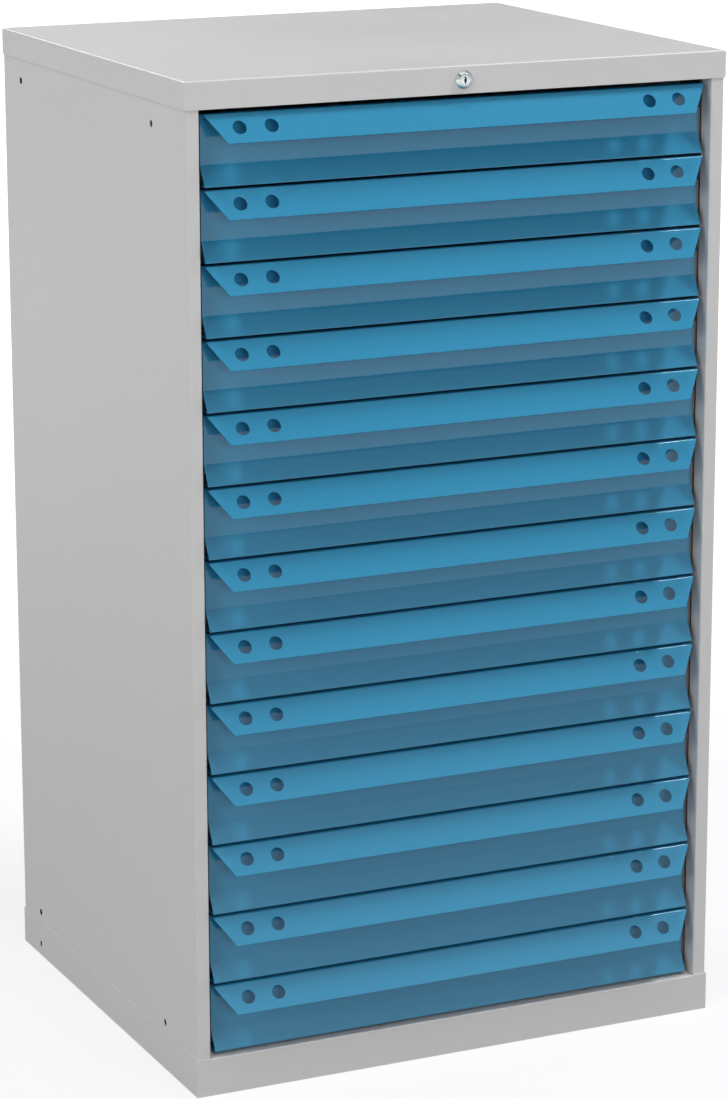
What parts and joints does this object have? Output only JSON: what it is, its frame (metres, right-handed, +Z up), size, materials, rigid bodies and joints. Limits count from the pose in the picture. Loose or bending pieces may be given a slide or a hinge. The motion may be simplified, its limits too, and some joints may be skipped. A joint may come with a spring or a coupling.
{
  "type": "microscope slide cabinet",
  "caption": "Upright grey steel cabinet with a column of flat blue drawers on telescopic runners, each with a sloping pull lip, locked together from the lid.",
  "frame": {"origin": "middle of the footprint, on the floor under the plinth", "axes": "+X to the right seen from the front, +Y to the back, +Z up"},
  "size_m": [0.574, 0.5075, 1],
  "materials": {
    "carcass_paint": "light grey powder coat, very fine texture, satin",
    "drawer_paint": "mid blue powder coat, very fine texture, satin",
    "tray_paint": "light grey powder coat inside the drawers",
    "zinc": "bright zinc plate on rolled and turned steel",
    "lock_chrome": "polished chrome plate on die-cast zinc",
    "nylon": "black nylon, as moulded"
  },
  "bodies": {
    "carcass": {"left_side": "carcass_paint", "right_side": "carcass_paint", "back_panel": "carcass_paint", "top_lid": "carcass_paint", "front_rail": "carcass_paint", "rear_rail": "carcass_paint", "bottom_panel": "carcass_paint", "plinth_frame": "carcass_paint", "runner_posts": "zinc", "cabinet_runners": "zinc", "lock_body": "lock_chrome", "lock_nut": "zinc", "bar_guides": "nylon", "shaft_hanger": "zinc", "shaft_bush": "nylon"},
    "lock_core": {"lock_plug": "lock_chrome", "lock_shaft": "zinc", "crank_arm": "zinc"},
    "bar": {"locking_bar": "zinc"},
    "drawer_01": {"drawer_front_01": "drawer_paint", "drawer_tray_01": "tray_paint"},
    "runner_01": {"runner_middle_01": "zinc"},
    "drawer_02": {"drawer_front_02": "drawer_paint", "drawer_tray_02": "tray_paint"},
    "runner_02": {"runner_middle_02": "zinc"},
    "drawer_03": {"drawer_front_03": "drawer_paint", "drawer_tray_03": "tray_paint"},
    "runner_03": {"runner_middle_03": "zinc"},
    "drawer_04": {"drawer_front_04": "drawer_paint", "drawer_tray_04": "tray_paint"},
    "runner_04": {"runner_middle_04": "zinc"},
    "drawer_05": {"drawer_front_05": "drawer_paint", "drawer_tray_05": "tray_paint"},
    "runner_05": {"runner_middle_05": "zinc"},
    "drawer_06": {"drawer_front_06": "drawer_paint", "drawer_tray_06": "tray_paint"},
    "runner_06": {"runner_middle_06": "zinc"},
    "drawer_07": {"drawer_front_07": "drawer_paint", "drawer_tray_07": "tray_paint"},
    "runner_07": {"runner_middle_07": "zinc"},
    "drawer_08": {"drawer_front_08": "drawer_paint", "drawer_tray_08": "tray_paint"},
    "runner_08": {"runner_middle_08": "zinc"},
    "drawer_09": {"drawer_front_09": "drawer_paint", "drawer_tray_09": "tray_paint"},
    "runner_09": {"runner_middle_09": "zinc"},
    "drawer_10": {"drawer_front_10": "drawer_paint", "drawer_tray_10": "tray_paint"},
    "runner_10": {"runner_middle_10": "zinc"},
    "drawer_11": {"drawer_front_11": "drawer_paint", "drawer_tray_11": "tray_paint"},
    "runner_11": {"runner_middle_11": "zinc"},
    "drawer_12": {"drawer_front_12": "drawer_paint", "drawer_tray_12": "tray_paint"},
    "runner_12": {"runner_middle_12": "zinc"},
    "drawer_13": {"drawer_front_13": "drawer_paint", "drawer_tray_13": "tray_paint"},
    "runner_13": {"runner_middle_13": "zinc"}
  },
  "joints": [
    {"name": "lock_turn", "type": "hinge", "parent": "carcass", "child": "lock_core", "pos_m": [0, -0.248, 0.9865], "axis": [0, 1, 0], "range_deg": [0, 90]},
    {"name": "bar_lift", "type": "slide", "parent": "carcass", "child": "bar", "axis": [0, 0, 1], "range_m": [0, 0.0106]},
    {"name": "drawer_01_travel", "type": "slide", "parent": "carcass", "child": "drawer_01", "axis": [0, -1, 0], "range_m": [0, 0.43]},
    {"name": "runner_01_travel", "type": "slide", "parent": "carcass", "child": "runner_01", "axis": [0, -1, 0], "range_m": [0, 0.2155]},
    {"name": "drawer_02_travel", "type": "slide", "parent": "carcass", "child": "drawer_02", "axis": [0, -1, 0], "range_m": [0, 0.43]},
    {"name": "runner_02_travel", "type": "slide", "parent": "carcass", "child": "runner_02", "axis": [0, -1, 0], "range_m": [0, 0.2155]},
    {"name": "drawer_03_travel", "type": "slide", "parent": "carcass", "child": "drawer_03", "axis": [0, -1, 0], "range_m": [0, 0.43]},
    {"name": "runner_03_travel", "type": "slide", "parent": "carcass", "child": "runner_03", "axis": [0, -1, 0], "range_m": [0, 0.2155]},
    {"name": "drawer_04_travel", "type": "slide", "parent": "carcass", "child": "drawer_04", "axis": [0, -1, 0], "range_m": [0, 0.43]},
    {"name": "runner_04_travel", "type": "slide", "parent": "carcass", "child": "runner_04", "axis": [0, -1, 0], "range_m": [0, 0.2155]},
    {"name": "drawer_05_travel", "type": "slide", "parent": "carcass", "child": "drawer_05", "axis": [0, -1, 0], "range_m": [0, 0.43]},
    {"name": "runner_05_travel", "type": "slide", "parent": "carcass", "child": "runner_05", "axis": [0, -1, 0], "range_m": [0, 0.2155]},
    {"name": "drawer_06_travel", "type": "slide", "parent": "carcass", "child": "drawer_06", "axis": [0, -1, 0], "range_m": [0, 0.43]},
    {"name": "runner_06_travel", "type": "slide", "parent": "carcass", "child": "runner_06", "axis": [0, -1, 0], "range_m": [0, 0.2155]},
    {"name": "drawer_07_travel", "type": "slide", "parent": "carcass", "child": "drawer_07", "axis": [0, -1, 0], "range_m": [0, 0.43]},
    {"name": "runner_07_travel", "type": "slide", "parent": "carcass", "child": "runner_07", "axis": [0, -1, 0], "range_m": [0, 0.2155]},
    {"name": "drawer_08_travel", "type": "slide", "parent": "carcass", "child": "drawer_08", "axis": [0, -1, 0], "range_m": [0, 0.43]},
    {"name": "runner_08_travel", "type": "slide", "parent": "carcass", "child": "runner_08", "axis": [0, -1, 0], "range_m": [0, 0.2155]},
    {"name": "drawer_09_travel", "type": "slide", "parent": "carcass", "child": "drawer_09", "axis": [0, -1, 0], "range_m": [0, 0.43]},
    {"name": "runner_09_travel", "type": "slide", "parent": "carcass", "child": "runner_09", "axis": [0, -1, 0], "range_m": [0, 0.2155]},
    {"name": "drawer_10_travel", "type": "slide", "parent": "carcass", "child": "drawer_10", "axis": [0, -1, 0], "range_m": [0, 0.43]},
    {"name": "runner_10_travel", "type": "slide", "parent": "carcass", "child": "runner_10", "axis": [0, -1, 0], "range_m": [0, 0.2155]},
    {"name": "drawer_11_travel", "type": "slide", "parent": "carcass", "child": "drawer_11", "axis": [0, -1, 0], "range_m": [0, 0.43]},
    {"name": "runner_11_travel", "type": "slide", "parent": "carcass", "child": "runner_11", "axis": [0, -1, 0], "range_m": [0, 0.2155]},
    {"name": "drawer_12_travel", "type": "slide", "parent": "carcass", "child": "drawer_12", "axis": [0, -1, 0], "range_m": [0, 0.43]},
    {"name": "runner_12_travel", "type": "slide", "parent": "carcass", "child": "runner_12", "axis": [0, -1, 0], "range_m": [0, 0.2155]},
    {"name": "drawer_13_travel", "type": "slide", "parent": "carcass", "child": "drawer_13", "axis": [0, -1, 0], "range_m": [0, 0.43]},
    {"name": "runner_13_travel", "type": "slide", "parent": "carcass", "child": "runner_13", "axis": [0, -1, 0], "range_m": [0, 0.2155]}
  ],
  "couplings": [
    {"joint": "lock_turn", "follows": "bar_lift", "rad_per_m": 148.1},
    {"joint": "runner_01_travel", "follows": "drawer_01_travel", "ratio": 0.5},
    {"joint": "runner_02_travel", "follows": "drawer_02_travel", "ratio": 0.5},
    {"joint": "runner_03_travel", "follows": "drawer_03_travel", "ratio": 0.5},
    {"joint": "runner_04_travel", "follows": "drawer_04_travel", "ratio": 0.5},
    {"joint": "runner_05_travel", "follows": "drawer_05_travel", "ratio": 0.5},
    {"joint": "runner_06_travel", "follows": "drawer_06_travel", "ratio": 0.5},
    {"joint": "runner_07_travel", "follows": "drawer_07_travel", "ratio": 0.5},
    {"joint": "runner_08_travel", "follows": "drawer_08_travel", "ratio": 0.5},
    {"joint": "runner_09_travel", "follows": "drawer_09_travel", "ratio": 0.5},
    {"joint": "runner_10_travel", "follows": "drawer_10_travel", "ratio": 0.5},
    {"joint": "runner_11_travel", "follows": "drawer_11_travel", "ratio": 0.5},
    {"joint": "runner_12_travel", "follows": "drawer_12_travel", "ratio": 0.5},
    {"joint": "runner_13_travel", "follows": "drawer_13_travel", "ratio": 0.5}
  ]
}
